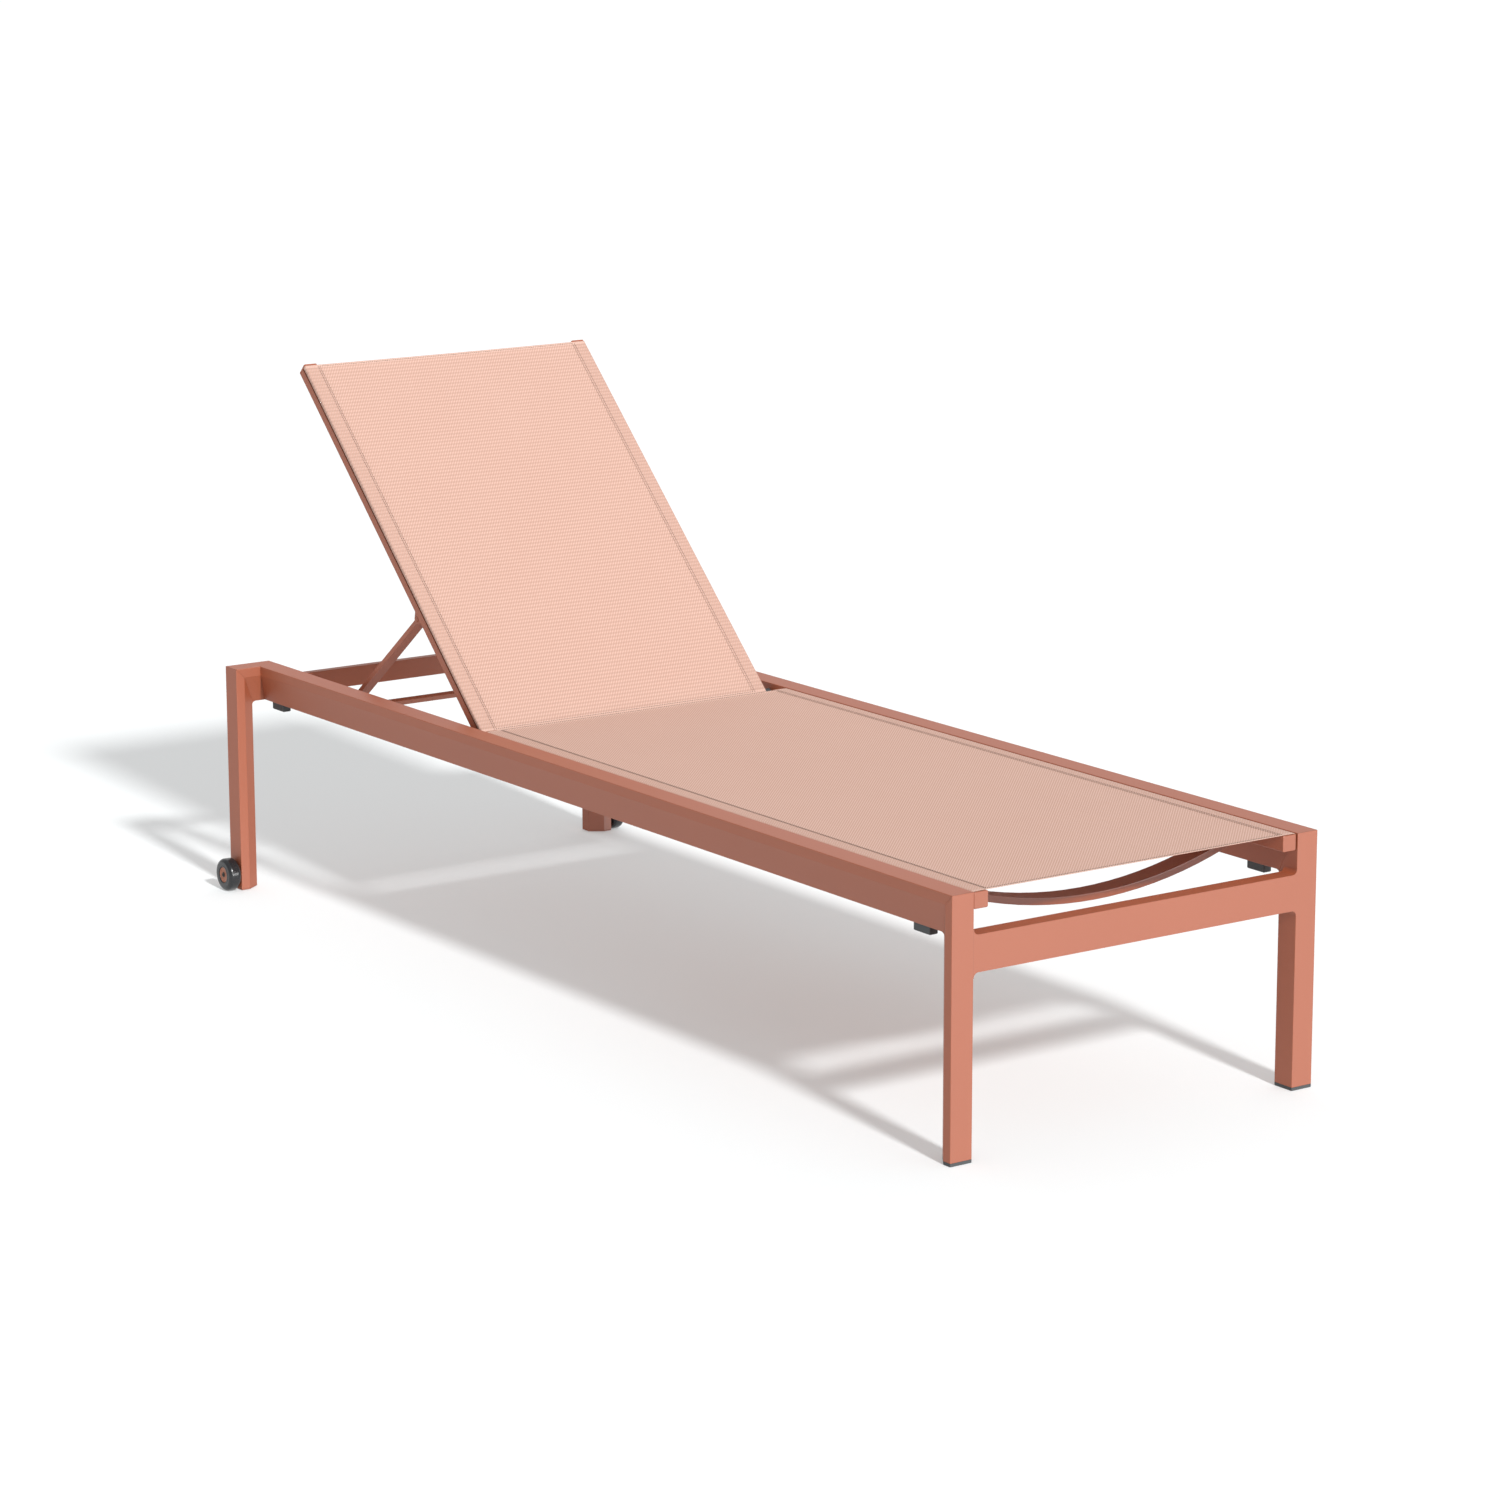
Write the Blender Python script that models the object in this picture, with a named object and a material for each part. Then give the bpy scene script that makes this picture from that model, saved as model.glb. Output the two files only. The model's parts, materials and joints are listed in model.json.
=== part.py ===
"""Reclining sun lounger: a stackable aluminium frame on two wheels, with a taut mesh sling.

Metres, +Z up. +X is the right side seen from the foot end, +Y points to the head end. The origin is
on the floor, under the middle of the bounding box. The backrest stands at its usual reclined angle.
"""
import math

import bmesh
import bpy
from mathutils import Vector

# Driving dimensions: the frame
FRAME_LENGTH = 1.900        # foot face of the foot legs to head face of the head legs
RAIL_TOP = 0.373            # height of the side rails' top face
RAILS_HALF = 0.3205         # outer face of a side rail, from the middle
RAIL_WIDTH = 0.0365
RAIL_DEPTH = 0.060
LEG_LONG = 0.037            # long side of the leg section, the side that the slanted face eats into most
LIP = 0.015                 # what the slanted face leaves of a long side
FLAT = 0.021                # what the slanted face leaves of a short side
WALL = 0.002
HEAD_LEGS_HALF = 0.3655     # outer face of a head leg, from the middle
CORNER_FILLET = 0.0055      # weld fillet under the rail corners
FOOT_BAR_TOP = 0.3138
FOOT_BAR_BOTTOM = 0.2621
FOOT_BAR_DEPTH = 0.027
FOOT_BAR_FILLET = 0.0076
HEAD_BAR_TOP = 0.3468
HEAD_BAR_BOTTOM = 0.3143
HEAD_BAR_DEPTH = 0.015
GLIDE_HEIGHT = 0.0048
HEAD_PLUG_BOTTOM = 0.0010   # the wheels carry the head end, the head legs stay just off the floor
HEAD_PLUG_HEIGHT = 0.0016
PLUG_SPIGOT = 0.012         # how far a leg's plug or glide reaches into it
GLIDE_EASE = 0.0006

# Driving dimensions: the sling tubes, the slings and the bows that spread them
TUBE_WIDTH = 0.0235
TUBE_HEIGHT = 0.023
TUBE_RADIUS = 0.002
CAP_EASE = 0.0005           # chamfer round the face of an end cap
CAP_SPIGOT = 0.012          # how far an end cap reaches into its tube
SEAT_TUBES_HALF = 0.2823    # outer face of a seat tube, from the middle
SEAT_TUBE_TOP = 0.3715
SEAT_TUBE_START = 0.0022    # from the foot face, as are the next three
SEAT_TUBE_END = 1.2265
SEAT_SLING_START = 0.0042
SEAT_SLING_END = 1.2187
SPACER_FROM_END = 0.060
SLING_THICKNESS = 0.001
SLOT_FROM_FRONT = 0.0050
SLOT_MOUTH = 0.0038
SLOT_CHAMBER = 0.0050
SLOT_LIP = 0.0015
KEDER_RADIUS = 0.0022
BOW_DEPTH = 0.036
BOW_HEIGHT = 0.0108
BOW_SAG = 0.0485
BOW_WALL = 0.0015
SEAT_BOWS = (("seat_bow_foot", 0.113), ("seat_bow_middle", 0.640), ("seat_bow_head", 1.165))

# Driving dimensions: the backrest and its stay
BACK_ANGLE = math.radians(44.0)
BACK_TUBES_HALF = 0.2680    # outer face of a back tube, from the middle
HINGE_FROM_FOOT = 1.2709
HINGE_BELOW_MIDDLE = 0.0025  # hinge axis below the middle of the tubes, clear of their slots
BACK_LENGTH = 0.7320        # hinge axis to the top of the end caps
BACK_TAIL = 0.0115          # hinge axis to the lower end of the end caps
TOP_CAP = 0.004
BOTTOM_CAP = 0.0025
BOTTOM_CAP_SPIGOT = 0.004   # short, to stay clear of the hinge bolt
BACK_BOW_SAG = 0.030
BACK_BOWS = (("back_bow_lower", 0.060), ("back_bow_upper", 0.655))
BACK_SLING_START = -0.008   # from the hinge axis
STAY_FROM_HINGE = 0.2358    # along the back tube
STAY_BELOW_TUBE = 0.0062    # pivot below the tube's underside
STAY_LENGTH = 0.3013        # pivot to the middle of the stay bar
STAY_ANGLE = math.radians(38.09)    # below the horizontal, as it stands
FLAT_STAY_ANGLE = math.radians(3.39)    # the same with the backrest flat
RAISED_ANGLE = math.radians(64.0)   # steepest backrest
STAY_ARM_HALF = 0.2635      # outer face of a stay arm, from the middle
STAY_ARM_WIDTH = 0.019
STAY_ARM_THICKNESS = 0.0072
STAY_BAR_WIDTH = 0.017
STAY_BAR_THICKNESS = 0.006
STAY_PIN_RADIUS = 0.002
BRACKET_RADIUS = 0.0075
BRACKET_SHEET = 0.0018
PEG_RADIUS = 0.004
PEG_FROM_RAIL = 0.0025
RACK_WIDTH = 0.013
RACK_BOTTOM = 0.3136
RACK_CLEARANCE = 0.0006     # tooth tips below the path of the peg
RACK_NOTCH_DEPTH = 0.0024
RACK_RUN_OUT = 0.003        # past the last places of the pegs
RACK_STOP = 0.006           # length of a stop along the rack
RACK_STOP_HEIGHT = 0.008
RACK_NOTCH_ANGLES = tuple(math.radians(a) for a in (10.0, 21.0, 32.0, 44.0, 54.0, 64.0))
HINGE_BOLT_RADIUS = 0.0035
HINGE_BUSH_RADIUS = 0.0063
BOLT_HEAD_RADIUS = 0.0065
RIVET_HEAD_RADIUS = 0.0045

# Driving dimensions: the wheels and the stacking pads
WHEEL_RADIUS = 0.0267
WHEEL_WIDTH = 0.0219
WHEEL_INNER_X = 0.3686      # inner side of a wheel, from the middle
TYRE_SHOULDER = 0.0065
HUB_RADIUS = 0.0124
AXLE_RADIUS = 0.0035
AXLE_FROM_HEAD = 0.018      # axle in front of the head legs' head face
PAD_SIZE = (0.014, 0.036, 0.012)
PADS_FROM_FOOT = 0.0911
PADS_FROM_HEAD = 0.0585

# Gaps
TOUCH = 0.0003              # between pieces that touch
WELD = 0.0001               # on each side of a welded seam
PLAY = 0.0003               # round a pin in its hole
OVERLAP = 0.001             # how far a cutter runs past what it cuts

Y_FOOT = -(FRAME_LENGTH + WHEEL_RADIUS - AXLE_FROM_HEAD) / 2
Y_HEAD = Y_FOOT + FRAME_LENGTH
Y_KNEE = Y_HEAD - RAIL_WIDTH
RAILS_INNER = RAILS_HALF - RAIL_WIDTH
RAIL_BOTTOM = RAIL_TOP - RAIL_DEPTH
AXLE_Y = Y_HEAD - AXLE_FROM_HEAD
AXLE_Z = WHEEL_RADIUS
HINGE = Vector((0, Y_FOOT + HINGE_FROM_FOOT, SEAT_TUBE_TOP - TUBE_HEIGHT / 2 - HINGE_BELOW_MIDDLE))
STAY_DROP = TUBE_HEIGHT / 2 + STAY_BELOW_TUBE - HINGE_BELOW_MIDDLE
STAY_SWING = BACK_ANGLE + STAY_ANGLE    # between the back tube and the stay, as it stands
STAY_RATIO = (STAY_SWING - FLAT_STAY_ANGLE) / BACK_ANGLE
SIDES = (("left", -1), ("right", 1))

COLOURS = {
    "terracotta_powder_coat": ((0.60, 0.24, 0.15), 0.45, 0.0),
    "salmon_mesh_sling": ((0.86, 0.58, 0.46), 0.70, 0.0),
    "black_nylon": ((0.035, 0.038, 0.040), 0.55, 0.0),
    "dark_tyre": ((0.045, 0.047, 0.050), 0.30, 0.0),
    "copper_hub": ((0.45, 0.20, 0.13), 0.40, 0.0),
    "stainless_steel": ((0.60, 0.60, 0.60), 0.25, 1.0),
}


# Scene and materials

def clear_scene():
    for old in list(bpy.data.objects):
        bpy.data.objects.remove(old, do_unlink=True)


def paint(obj, colour):
    """Each sub-part has its own copy of its finish."""
    base, roughness, metallic = COLOURS[colour]
    material = bpy.data.materials.new(obj.name + "_" + colour)
    material.use_nodes = True
    shader = material.node_tree.nodes["Principled BSDF"]
    shader.inputs["Base Color"].default_value = (*base, 1.0)
    shader.inputs["Roughness"].default_value = roughness
    shader.inputs["Metallic"].default_value = metallic
    material.diffuse_color = (*base, 1.0)
    obj.data.materials.append(material)


def make_object(name, bm, colour=None, parent=None):
    """A bmesh as an object. Without a colour it is a cutter or a weld fillet, and not a piece."""
    bmesh.ops.recalc_face_normals(bm, faces=bm.faces)
    mesh = bpy.data.meshes.new(name)
    bm.to_mesh(mesh)
    bm.free()
    mesh.shade_smooth()
    mesh.set_sharp_from_angle(angle=math.radians(32))
    obj = bpy.data.objects.new(name, mesh)
    bpy.context.collection.objects.link(obj)
    obj.parent = parent
    if colour:
        paint(obj, colour)
    else:
        obj.hide_render = True
        obj.display_type = "WIRE"
    return obj


def combine(target, tool, operation):
    modifier = target.modifiers.new(operation.lower() + "_" + tool.name, "BOOLEAN")
    modifier.operation = operation
    modifier.solver = "EXACT"
    modifier.object = tool


def cut(target, *cutters):
    for cutter in cutters:
        combine(target, cutter, "DIFFERENCE")


def pivot(name, location, angle, parent=None):
    empty = bpy.data.objects.new(name, None)
    bpy.context.collection.objects.link(empty)
    empty.parent = parent
    empty.location = location
    empty.rotation_euler = (angle, 0, 0)
    return empty


# Outlines

def arc(centre, radius, start, end, steps):
    """Points on an arc, angles in radians."""
    angles = [start + (end - start) * i / steps for i in range(steps + 1)]
    return [(centre[0] + radius * math.cos(a), centre[1] + radius * math.sin(a)) for a in angles]


def rounded(outline, radius, steps=2):
    """An outline with every corner rounded to the same radius."""
    points = []
    count = len(outline)
    for i, corner in enumerate(outline):
        here = Vector(corner)
        before = (Vector(outline[i - 1]) - here).normalized()
        after = (Vector(outline[(i + 1) % count]) - here).normalized()
        half = before.angle(after) / 2
        centre = here + (before + after).normalized() * radius / math.sin(half)
        first = here + before * radius / math.tan(half) - centre
        last = here + after * radius / math.tan(half) - centre
        start = math.atan2(first.y, first.x)
        turn = (math.atan2(last.y, last.x) - start + math.pi) % (2 * math.pi) - math.pi
        points += arc(centre, radius, start, start + turn, steps)
    return points


def inset(outline, distance):
    """A convex anticlockwise outline moved inwards, corner by corner."""
    points = []
    count = len(outline)
    for i, corner in enumerate(outline):
        here = Vector(corner)
        into = (here - Vector(outline[i - 1])).normalized()
        out = (Vector(outline[(i + 1) % count]) - here).normalized()
        normal_in = Vector((-into.y, into.x))
        normal_out = Vector((-out.y, out.x))
        bisector = (normal_in + normal_out).normalized()
        points.append(tuple(here + bisector * distance / bisector.dot(normal_in)))
    return points


def rectangle(low_u, high_u, low_v, high_v):
    return [(low_u, low_v), (high_u, low_v), (high_u, high_v), (low_u, high_v)]


def box_section(width, height, radius=0.001):
    return rounded(rectangle(-width / 2, width / 2, -height / 2, height / 2), radius)


def rail_outline():
    """Across from the inner face outwards, and up from the bottom: the slanted face looks down and out."""
    return [(0, 0), (FLAT, 0), (RAIL_WIDTH, RAIL_DEPTH - LIP), (RAIL_WIDTH, RAIL_DEPTH), (0, RAIL_DEPTH)]


def leg_outline():
    """Short side along u, long side along v: a full width edge at v = LEG_LONG and a slanted face."""
    return [(0, 0), (FLAT, 0), (RAIL_WIDTH, LEG_LONG - LIP), (RAIL_WIDTH, LEG_LONG), (0, LEG_LONG)]


# Solids

def join_rings(bm, rings, closed_loop=False):
    pairs = list(zip(rings, rings[1:]))
    if closed_loop:
        pairs.append((rings[-1], rings[0]))
    for low, high in pairs:
        count = max(len(low), len(high))
        for i in range(count):
            j = (i + 1) % count
            corners = [low[i % len(low)], low[j % len(low)], high[j % len(high)], high[i % len(high)]]
            bm.faces.new(list(dict.fromkeys(corners)))


def ring_edges(bm, ring):
    return [bm.edges.get((ring[i - 1], ring[i])) for i in range(len(ring))]


def sweep(name, colour, outer, stations, hole=None, parent=None):
    """A section carried through stations, each a function from (u, v) to a place, with flat ends."""
    bm = bmesh.new()
    rings = [[bm.verts.new(place(*point)) for point in outer] for place in stations]
    join_rings(bm, rings)
    bores = []
    if hole:
        bores = [[bm.verts.new(place(*point)) for point in hole] for place in stations]
        join_rings(bm, bores)
    for end in (0, -1):
        edges = ring_edges(bm, rings[end])
        if hole:
            edges += ring_edges(bm, bores[end])
        bmesh.ops.triangle_fill(bm, edges=edges, use_beauty=True)
    return make_object(name, bm, colour, parent)


def along_x(low, high):
    """Stations for a section in Y and Z."""
    return [lambda u, v, x=x: (x, u, v) for x in (low, high)]


def along_y(low, high, side=1, x=0.0, z=0.0):
    """Stations for a section in X and Z, mirrored on the left side."""
    return [lambda u, v, y=y: (side * (x + u), y, z + v) for y in (low, high)]


def stepped(name, colour, sections, parent=None):
    """A closed stack of sections of equal point count, each (outline, place)."""
    bm = bmesh.new()
    rings = [[bm.verts.new(place(*point)) for point in outline] for outline, place in sections]
    join_rings(bm, rings)
    for end in (0, -1):
        bmesh.ops.triangle_fill(bm, edges=ring_edges(bm, rings[end]), use_beauty=True)
    return make_object(name, bm, colour, parent)


def turned(name, colour, profile, centre, side=1, segments=32, closed_loop=False, parent=None):
    """A profile of (along X outwards, radius) points turned about an axis along X."""
    bm = bmesh.new()
    rings = []
    for along, radius in profile:
        steps = segments if radius > 0 else 1
        turns = [2 * math.pi * i / segments for i in range(steps)]
        x = side * (centre[0] + along)
        rings.append([bm.verts.new((x, centre[1] + radius * math.cos(t), centre[2] + radius * math.sin(t)))
                      for t in turns])
    join_rings(bm, rings, closed_loop)
    return make_object(name, bm, colour, parent)


def bore(name, centre, radius, low, high, side=1, parent=None):
    """A cutter for a hole along X."""
    profile = [(low, 0), (low, radius), (high, radius), (high, 0)]
    return turned(name, None, profile, (0, *centre), side, segments=24, parent=parent)


# Mitre cutters: the seam steps round the lip, then runs down the slanted faces to the inside corner

def mitre_line(shift):
    """The seam from the outside corner, as (inwards, down) with both measured from that corner."""
    reach = 2.0
    slope_in = LEG_LONG - LIP
    slope_down = RAIL_DEPTH - LIP
    line = [(-LIP, -LIP), (LIP, LIP), (LIP + slope_in * reach, LIP + slope_down * reach)]
    return [(inwards + shift, down - shift) for inwards, down in line]


def mitre_cutters(name, place_at, low, high):
    """Cutters for the upright, which lies outside the seam, and for the level piece inside it."""
    away = 0.4
    line_up = mitre_line(-WELD)
    upper = line_up + [(away, line_up[-1][1]), (away, -away), (-LIP, -away)]
    line_level = mitre_line(WELD)
    lower = line_level + [(line_level[-1][0], away), (-away, away), (-away, -LIP)]
    stations = [lambda u, v, s=s: place_at(u, v, s) for s in (low, high)]
    return (sweep(name + "_upright_cutter", None, upper, stations),
            sweep(name + "_level_cutter", None, lower, stations))


# The frame

def make_foot_corner(label, side):
    """A foot leg, its glide and the cutters of its mitre with the rail."""
    def place_seam(inwards, down, x):
        return (side * x, Y_FOOT + inwards, RAIL_TOP - down)

    def place_leg(z):
        return lambda u, v: (side * (RAILS_INNER + u), Y_FOOT + LEG_LONG - v, z)

    upright_cutter, level_cutter = mitre_cutters(
        "foot_mitre_" + label, place_seam, RAILS_INNER - OVERLAP, RAILS_HALF + OVERLAP)
    section = rounded(leg_outline(), 0.001)
    hollow = rounded(inset(leg_outline(), WALL), 0.0005)
    leg = sweep("foot_leg_" + label, "terracotta_powder_coat", section,
                [place_leg(GLIDE_HEIGHT + TOUCH), place_leg(RAIL_TOP)], hollow)
    cut(leg, upright_cutter)
    corner_y = Y_FOOT + LEG_LONG
    fillet_face = arc((corner_y + CORNER_FILLET, RAIL_BOTTOM - CORNER_FILLET), CORNER_FILLET,
                      math.pi, math.pi / 2, 6)
    fillet_outline = [(corner_y - OVERLAP, RAIL_BOTTOM - CORNER_FILLET)] + fillet_face
    fillet_outline = [(y, z - WELD) for y, z in fillet_outline] + [(corner_y - OVERLAP, RAIL_BOTTOM - WELD)]
    fillet = sweep("foot_fillet_" + label, None, fillet_outline,
                   [lambda u, v, x=x: (side * x, u, v)
                    for x in (RAILS_INNER + 0.0002, RAILS_INNER + FLAT - 0.0002)])
    combine(leg, fillet, "UNION")
    spigot = rounded(inset(leg_outline(), WALL + TOUCH), 0.001)
    stepped("foot_glide_" + label, "black_nylon",
            [(rounded(inset(leg_outline(), GLIDE_EASE), 0.001), place_leg(0)),
             (section, place_leg(GLIDE_EASE)), (section, place_leg(GLIDE_HEIGHT)),
             (spigot, place_leg(GLIDE_HEIGHT)), (spigot, place_leg(GLIDE_HEIGHT + PLUG_SPIGOT))])
    return level_cutter


def make_head_corner(label, side):
    """A head leg, its knee out from the rail, its bottom plug and the cutter that mitres the rail."""
    def place_seam(inwards, down, y):
        return (side * (HEAD_LEGS_HALF - inwards), y, RAIL_TOP - down)

    def place_leg(z):
        return lambda u, v: (side * (HEAD_LEGS_HALF - LEG_LONG + v), Y_HEAD - u, z)

    def place_knee(x):
        return lambda u, v: (side * x, Y_HEAD - u, RAIL_BOTTOM + v)

    leg_cutter, knee_cutter = mitre_cutters(
        "head_mitre_" + label, place_seam, Y_KNEE - OVERLAP, Y_HEAD + OVERLAP)
    section = rounded(leg_outline(), 0.001)
    leg = sweep("head_leg_" + label, "terracotta_powder_coat", section,
                [place_leg(HEAD_PLUG_BOTTOM + HEAD_PLUG_HEIGHT + TOUCH), place_leg(RAIL_TOP)],
                rounded(inset(leg_outline(), WALL), 0.0005))
    axle_hole = bore("axle_hole_" + label, (AXLE_Y, AXLE_Z), AXLE_RADIUS + PLAY,
                     HEAD_LEGS_HALF - WALL - OVERLAP, HEAD_LEGS_HALF + OVERLAP, side)
    cut(leg, leg_cutter, axle_hole)
    corner_x = HEAD_LEGS_HALF - LEG_LONG
    fillet_face = arc((corner_x - CORNER_FILLET, RAIL_BOTTOM - CORNER_FILLET), CORNER_FILLET,
                      0, math.pi / 2, 6)
    fillet_outline = [(corner_x + OVERLAP, RAIL_BOTTOM - CORNER_FILLET)] + fillet_face
    fillet_outline = [(x, z - WELD) for x, z in fillet_outline] + [(corner_x + OVERLAP, RAIL_BOTTOM - WELD)]
    fillet = sweep("head_fillet_" + label, None, fillet_outline,
                   [lambda u, v, y=y: (side * u, y, v) for y in (Y_HEAD - FLAT + 0.0002, Y_HEAD - 0.0002)])
    combine(leg, fillet, "UNION")

    knee = sweep("head_knee_" + label, "terracotta_powder_coat", rounded(rail_outline(), 0.001),
                 [place_knee(RAILS_INNER - OVERLAP), place_knee(HEAD_LEGS_HALF)],
                 rounded(inset(rail_outline(), WALL), 0.0005))
    rail_side = [(RAILS_INNER - RAIL_WIDTH, Y_KNEE), (RAILS_HALF + OVERLAP, Y_KNEE - OVERLAP),
                 (RAILS_INNER - OVERLAP, Y_HEAD + OVERLAP), (RAILS_INNER - RAIL_WIDTH, Y_HEAD + OVERLAP)]
    knee_side = [(RAILS_HALF + OVERLAP, Y_KNEE - OVERLAP), (RAILS_HALF + RAIL_WIDTH, Y_KNEE - OVERLAP),
                 (RAILS_HALF + RAIL_WIDTH, Y_HEAD + RAIL_WIDTH), (RAILS_INNER - OVERLAP, Y_HEAD + OVERLAP)]
    heights = (RAIL_BOTTOM - OVERLAP, RAIL_TOP + OVERLAP)
    knee_end_cutter = sweep(
        "knee_end_cutter_" + label, None, [(x + WELD, y) for x, y in rail_side],
        [lambda u, v, z=z: (side * u, v, z) for z in heights])
    rail_end_cutter = sweep(
        "rail_end_cutter_" + label, None, [(x - WELD, y) for x, y in knee_side],
        [lambda u, v, z=z: (side * u, v, z) for z in heights])
    cut(knee, knee_end_cutter, knee_cutter)

    spigot = rounded(inset(leg_outline(), WALL + TOUCH), 0.001)
    top = HEAD_PLUG_BOTTOM + HEAD_PLUG_HEIGHT
    stepped("head_leg_plug_" + label, "terracotta_powder_coat",
            [(section, place_leg(HEAD_PLUG_BOTTOM)), (section, place_leg(top)),
             (spigot, place_leg(top)), (spigot, place_leg(top + PLUG_SPIGOT))])
    return rail_end_cutter


def make_rail(label, side, foot_cutter, head_cutter):
    def place(y):
        return lambda u, v: (side * (RAILS_INNER + u), y, RAIL_BOTTOM + v)

    rail = sweep("rail_" + label, "terracotta_powder_coat", rounded(rail_outline(), 0.001),
                 [place(Y_FOOT), place(Y_HEAD)], rounded(inset(rail_outline(), WALL), 0.0005))
    bolt_hole = bore("rail_bolt_hole_" + label, (HINGE.y, HINGE.z), HINGE_BOLT_RADIUS + PLAY,
                     RAILS_INNER - OVERLAP, RAILS_INNER + WALL + OVERLAP, side)
    cut(rail, foot_cutter, head_cutter, bolt_hole)


def make_foot_crossbar():
    """The bar of the H between the foot legs, flared into them at its four corners."""
    half = RAILS_INNER - WELD * 2
    r = FOOT_BAR_FILLET
    top, bottom = FOOT_BAR_TOP, FOOT_BAR_BOTTOM
    outline = arc((half - r, top + r), r, 0, -math.pi / 2, 6)
    outline += [(-x, z) for x, z in reversed(outline)]
    lower = [(x, top + bottom - z) for x, z in reversed(outline)]
    bar = sweep("foot_crossbar", "terracotta_powder_coat", outline + lower,
                [lambda u, v, y=y: (u, y, v) for y in (Y_FOOT, Y_FOOT + FOOT_BAR_DEPTH)])
    hollow = rectangle(Y_FOOT + WALL, Y_FOOT + FOOT_BAR_DEPTH - WALL, bottom + WALL, top - WALL)
    cut(bar, sweep("foot_crossbar_cutter", None, hollow, along_x(-half - OVERLAP, half + OVERLAP)))


def make_head_crossbar():
    half = RAILS_INNER - WELD * 2
    place = [lambda u, v, x=x: (x, Y_HEAD - HEAD_BAR_DEPTH / 2 + u, (HEAD_BAR_TOP + HEAD_BAR_BOTTOM) / 2 + v)
             for x in (-half, half)]
    height = HEAD_BAR_TOP - HEAD_BAR_BOTTOM
    sweep("head_crossbar", "terracotta_powder_coat", box_section(HEAD_BAR_DEPTH, height), place,
          box_section(HEAD_BAR_DEPTH - 2 * WALL, height - 2 * WALL, 0.0005))


def make_stacking_pads():
    width, length, height = PAD_SIZE
    x = RAILS_INNER + FLAT / 2
    z = RAIL_BOTTOM - TOUCH
    for end, y in (("foot", Y_FOOT + PADS_FROM_FOOT), ("head", Y_HEAD - PADS_FROM_HEAD)):
        for label, side in SIDES:
            rings = [(shrink, drop) for shrink, drop in ((0, 0), (0, height - 0.001), (0.001, height))]
            stepped("stacking_pad_%s_%s" % (end, label), "black_nylon",
                    [(box_section(width - 2 * s, length - 2 * s),
                      lambda u, v, d=d: (side * (x + u), y + v, z - d)) for s, d in rings])


# Sling tubes and slings

def tube_outline():
    """Outwards and up from the middle of the tube, with the keder slot in the outer face."""
    half_w, half_h = TUBE_WIDTH / 2, TUBE_HEIGHT / 2
    corners = rounded(rectangle(-half_w, half_w, -half_h, half_h), TUBE_RADIUS, 3)
    mouth_top = half_h - SLOT_FROM_FRONT
    mouth_low = mouth_top - SLOT_MOUTH
    middle = (mouth_top + mouth_low) / 2
    chamber_top = middle + SLOT_CHAMBER / 2
    chamber_low = middle - SLOT_CHAMBER / 2
    throat = half_w - SLOT_LIP
    back = throat - SLOT_CHAMBER
    slot = [(half_w, mouth_low), (throat, mouth_low), (throat, chamber_low), (back, chamber_low),
            (back, chamber_top), (throat, chamber_top), (throat, mouth_top), (half_w, mouth_top)]
    lower = [p for p in corners if p[1] < 0]
    upper = [p for p in corners if p[1] > 0]
    return lower + slot + upper


def tube_bore(clearance=0.0, steps=2):
    half_w, half_h = TUBE_WIDTH / 2, TUBE_HEIGHT / 2
    wall = WALL + clearance
    return rounded(rectangle(-half_w + wall, half_w - SLOT_LIP - SLOT_CHAMBER - wall,
                             -half_h + wall, half_h - wall), 0.001, steps)


def make_tube(name, side, outer_x, low, high, level, parent=None):
    """A sling tube along Y. Its axis is at the given level."""
    return sweep(name, "terracotta_powder_coat", tube_outline(),
                 along_y(low, high, side, outer_x - TUBE_WIDTH / 2, level), tube_bore(), parent)


def make_tube_cap(name, side, outer_x, inner_y, thickness, spigot, level, parent=None):
    """An end cap whose plate starts at inner_y; a negative thickness points it to -Y."""
    direction = math.copysign(1, thickness)
    x = outer_x - TUBE_WIDTH / 2
    outline = rectangle(-TUBE_WIDTH / 2, TUBE_WIDTH / 2, -TUBE_HEIGHT / 2, TUBE_HEIGHT / 2)
    section = rounded(outline, TUBE_RADIUS, 3)
    eased = rounded(inset(outline, CAP_EASE), TUBE_RADIUS, 3)
    plug = tube_bore(TOUCH, 3)

    def place(y):
        return lambda u, v: (side * (x + u), y, level + v)

    face = inner_y + thickness
    return stepped(name, "terracotta_powder_coat",
                   [(plug, place(inner_y - direction * spigot)), (plug, place(inner_y)),
                    (section, place(inner_y)), (section, place(face - direction * CAP_EASE)),
                    (eased, place(face))], parent)


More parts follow.
